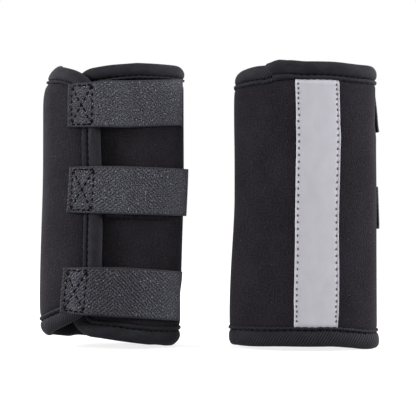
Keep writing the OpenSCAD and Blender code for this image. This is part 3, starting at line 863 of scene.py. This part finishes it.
def box_lines():
    """Ends of the six lines of a crossed box of stitches, as length and height on the strap."""
    a, b, h = BOX_START, ANCHOR_L - BOX_INSET, STRAP_W / 2 - BOX_INSET
    return np.array([[(a, h), (b, h)], [(b, h), (b, -h)], [(b, -h), (a, -h)], [(a, -h), (a, h)],
                     [(a, h), (b, -h)], [(a, -h), (b, h)]], float)


def near_box(t, w):
    """Distance from places on a strap to the nearest line of its box of stitches."""
    places = paired(t, w)
    gaps = []
    for start, end in box_lines():
        share = np.clip(((places - start) @ (end - start)) / np.sum((end - start) ** 2), 0, 1)
        gaps.append(np.linalg.norm(places - start - share[..., None] * (end - start), axis=-1))
    return np.min(gaps, axis=0)


def strap_tape(strap):
    """Woven tape of a strap with rounded selvedges and cut ends, drawn down along its box of stitches."""
    share = np.linspace(0, 1, 151)[:, None]
    w = np.sin(np.linspace(-1, 1, 45) * np.pi / 2)[None] * STRAP_W / 2
    t = strap.start_slant * w + share * (strap.length + (strap.tip_slant - strap.start_slant) * w)
    sewn = t - strap.start_slant * w
    dip = 0.22 * bell(near_box(sewn, w) / 0.8)
    ends = np.minimum(sewn, strap.length + strap.tip_slant * w - t)
    round_off = np.sqrt(np.clip(1 - (np.abs(w) / (STRAP_W / 2)) ** 30, 0.06, 1)
                        * np.clip(1 - (1 - np.clip(ends / 0.6, 0, 1)) ** 2, 0.06, 1))
    grids = [strap.point(t, w, STRAP_T / 2 * (1 + sign * round_off) - dip) for sign in (1, -1)]
    uv = paired(t + STRAP_U * LEVELS.index(strap.level), w)
    piece = slab(f"{strap.name}_strap_tape", *grids, uv, HOOK_TAPE)
    hinge = strap.point(np.array([ANCHOR_L - 1.5, ANCHOR_L + 3.5]), 0.0, 0.0)
    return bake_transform(piece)


def strap_stitches(strap):
    """Crossed box of black stitches through a strap's sewn end and the flap, a little uneven."""
    seams = []
    for start, end in box_lines():
        length = np.linalg.norm(end - start)
        count = int(round(length / BOX_STITCH))
        middle = (np.arange(count)[:, None] + 0.5 + rng.normal(0, 0.04, (count, 1))) / count
        reach = 1.05 if start[0] == end[0] else 1.35
        share = middle + reach * ALONG / length
        place = start + share[..., None] * (end - start) + rng.normal(0, 0.07, (count, 1, 2))
        t, w = place[..., 0] + strap.start_slant * place[..., 1], place[..., 1]
        dive = 0.5 * ALONG ** 4
        seams.append((partial(strap.point, t, w), STRAP_T - 0.05 - dive))
        seams.append((partial(strap.inside, t, w), 0.2 - dive))
    piece = sew(f"{strap.name}_strap_stitches", seams, BOX_THREAD_R, BLACK_THREAD)
    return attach(piece, f"{strap.side}_flap")


def hook_drop(strap, t):
    """Drop of a strap's hook tape below the strap's middle line at length t; it ends before the bend."""
    first, last = ASKEW.get((strap.side, strap.level), (0, 0))
    drop = first + (last - first) * ease((t - strap.hooked_from) / 36)
    return drop * ease((strap.bent_from - 0.3 - t) / 5)


def hook_base(strap):
    """Thin tape under a strap that carries its hooks, with rounded, slightly uneven edges."""
    t = np.linspace(strap.hooked_from + 0.5, strap.length - 1.0, 90)[:, None]
    w = np.sin(np.linspace(-1, 1, 33) * np.pi / 2)[None]
    wide = ASKEW_HALF if (strap.side, strap.level) in ASKEW else BASE_HALF
    uneven = wide + 0.12 * seam_wave(t * 5, 41) + 0.18 * seam_wave(t, 42)
    half = 0.2 * np.sqrt(np.clip(1 - np.abs(w) ** 30, 0.06, 1))
    grids = [strap.point(t, w * uneven - hook_drop(strap, t), sign * half - 0.22) for sign in (1, -1)]
    uv = paired(t, w * wide)
    piece = slab(f"{strap.name}_strap_hook_base", *grids, uv, HOOK_BASE)
    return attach(piece, f"{strap.side}_{strap.level}_closure")


def strap_hooks(strap):
    """Field of small hooks under a strap, past the flap: each rises from its tape and curls over."""
    t = np.arange(strap.hooked_from + HOOK_STEP, strap.length - 1.2, HOOK_STEP)
    w = np.arange(-HOOK_REACH, HOOK_REACH + 0.1, HOOK_ROW)
    t, w = (grid.ravel()[:, None] for grid in np.meshgrid(t, w))
    turn = np.linspace(0, 1, 6)[None]
    lean = 0.42 * ease((turn - 0.35) / 0.65) * np.sign(np.sin(w * FULL / (4 * HOOK_ROW) + 0.1))
    stem = strap.hook_length * np.sin(np.clip(turn / 0.7, 0, 1) * np.pi / 2)
    rise = 0.28 * ease((turn - 0.7) / 0.3) - 0.2 - stem
    w = w + lean - hook_drop(strap, t)
    lines = strap.point(t, w, rise)
    up = strap.point(t + 1, w, rise) - lines
    piece = cords(f"{strap.name}_strap_hook_field", lines, up, HOOK_R, NYLON)
    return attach(piece, f"{strap.side}_{strap.level}_closure")


def known_as(piece, slot, *nodes):
    """Hides the solids that a piece stands for; the slot is not used."""
    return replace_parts(piece, *nodes)


def make_sleeve(side):
    """All pieces of one sleeve."""
    for half in FREE_EDGE:
        node = f"{side}_flap" if half == "flap" else f"{side}_panel"
        flat = (HALF_FLAT[half] * 0.001, SLEEVE_H * 0.001)
        foam = ply(side, half, f"{side}_{half}_half_foam", FOAM_TOP, FOAM_TOP + FOAM_T, FOAM)
        known_as(foam, "foam", f"{node}_foam")
        face = ply(side, half, f"{side}_{half}_half_knit", 0, LOOP_T, KNIT)
        known_as(face, "loop_face", f"{node}_loop_face")
        half_area(half)
        lining = ply(side, half, f"{side}_{half}_half_lining", LINING_TOP, WALL, LINING)
        known_as(lining, "lining", f"{node}_lining")
        half_area(half)
        stitches = known_as(binding_stitches(side, half), "thread", f"{node}_binding_thread")
        tape = known_as(binding(side, half), "binding", f"{node}_binding")
        if half == "tuck":
            tape_lap(side)
    strip = known_as(reflective_strip(side), "reflective", f"{side}_reflective_strip")
    dots, bobbin = strip_stitches(side)
    known_as(dots, "strip_thread", f"{side}_strip_thread")
    for level in LEVELS:
        strap = Strap(side, level)
        name = f"{side}_{level}"
        tape = known_as(strap_tape(strap), "strap_tape", f"{name}_strap_anchor", f"{name}_strap")
        box = known_as(strap_stitches(strap), "thread", f"{name}_strap_thread")
        hooks = known_as(strap_hooks(strap), "hooks", f"{name}_strap_hooks")
        base = hook_base(strap)


def make_camera():
    """Level camera in front of the pair, at the photograph's distance and framing."""
    data = bpy.data.cameras.new("front_camera")
    data.lens, data.sensor_width = 109.9, 36.0
    camera = put("front_camera", data)
    camera.location = (-0.00095, -0.725, 0.0793)
    camera.rotation_euler = (np.pi / 2, 0, 0)
    bpy.context.scene.camera = camera


def make_lamp(name, place, aim, size, power):
    """Square soft light at a place, facing another."""
    data = bpy.data.lights.new(name, "AREA")
    data.size, data.energy = size, power
    lamp = put(name, data)
    forward = np.array(aim, float) - place
    lamp.location = place
    lamp.rotation_euler = (np.arctan2(np.hypot(*forward[:2]), -forward[2]), 0,
                           np.arctan2(-forward[0], forward[1]))


def direct_rays(tree):
    """1 for rays from the camera, off gloss or through glass, and 0 for all others."""
    camera = Shade(tree).node("ShaderNodeLightPath", out="Is Camera Ray")
    seen = camera.math("MAXIMUM", camera.output("Is Glossy Ray"))
    return seen.math("MAXIMUM", camera.output("Is Transmission Ray"))


WHITE = (1, 1, 1, 1)
# Strength of the light from all round, grey of the floor, and its share of white glow near the pair
SKY_LIGHT, FLOOR_GREY, FLOOR_GLOW = 0.06, 0.36, 0.82
# Soft lights: place, the place that each faces, size and power
LAMPS = {
    "left_softbox": ((-1.05, -0.42, 0.52), (-0.03, 0, 0.08), 0.45, 16.6),
    "right_softbox": ((1.05, -0.25, 0.45), (0.03, 0, 0.08), 0.45, 15.4),
    "top_softbox": ((0.0, -0.35, 0.95), (0, 0, 0.08), 0.5, 2.8),
    "left_edge_light": ((-0.9, 0.3, 0.3), (-0.1, 0, 0.08), 0.3, 7.0),
    "right_edge_light": ((0.9, 0.25, 0.3), (0.1, 0, 0.08), 0.3, 6.2)}


def make_studio():
    """White surroundings, a pale floor that keeps the shadow, and soft lights left, right and above. The
    floor is seen lit near the pair, and plain white further off."""
    world = bpy.data.worlds.new("studio")
    bpy.context.scene.world = world
    world.use_nodes = True
    tree = world.node_tree
    lit = tree.nodes["Background"]
    lit.inputs["Color"].default_value = (0.95, 0.97, 1.0, 1)
    lit.inputs["Strength"].default_value = SKY_LIGHT
    seen = direct_rays(tree)
    white = seen.node("ShaderNodeBackground", (), {"Color": WHITE, "Strength": 1.0})
    shown = seen.node("ShaderNodeMixShader", (), {0: seen, 1: Shade(tree, lit.outputs[0]), 2: white})
    tree.links.new(shown.socket, tree.nodes["World Output"].inputs[0])
    mesh = bpy.data.meshes.new("floor")
    mesh.from_pydata([(-3, -2, 0), (3, -2, 0), (3, 4, 0), (-3, 4, 0)], [], [(0, 1, 2, 3)])
    paint = bpy.data.materials.new("floor_paint")
    paint.use_nodes = True
    tree = paint.node_tree
    lit = tree.nodes["Principled BSDF"]
    lit.inputs["Base Color"].default_value = (FLOOR_GREY, FLOOR_GREY, FLOOR_GREY, 1)
    lit.inputs["Roughness"].default_value = 0.9
    place = Shade(tree).node("ShaderNodeTexCoord", out="Object")
    far = place.node("ShaderNodeVectorMath", {"operation": "LENGTH"}, {0: place}, "Value")
    seen = direct_rays(tree)
    glow = seen * far.step(0.15, 0.6, FLOOR_GLOW, 1.0)
    glow = seen.node("ShaderNodeEmission", (), {"Color": WHITE, "Strength": glow})
    shown = seen.node("ShaderNodeAddShader", (), {0: Shade(tree, lit.outputs[0]), 1: glow})
    tree.links.new(shown.socket, tree.nodes["Material Output"].inputs[0])
    mesh.materials.append(paint)
    floor = put("floor", mesh)
    for name, lamp in LAMPS.items():
        make_lamp(name, *lamp)


make_camera()
bpy.context.scene.view_settings.view_transform = "Standard"
make_studio()
for side in ("left", "right"):
    make_sleeve(side)
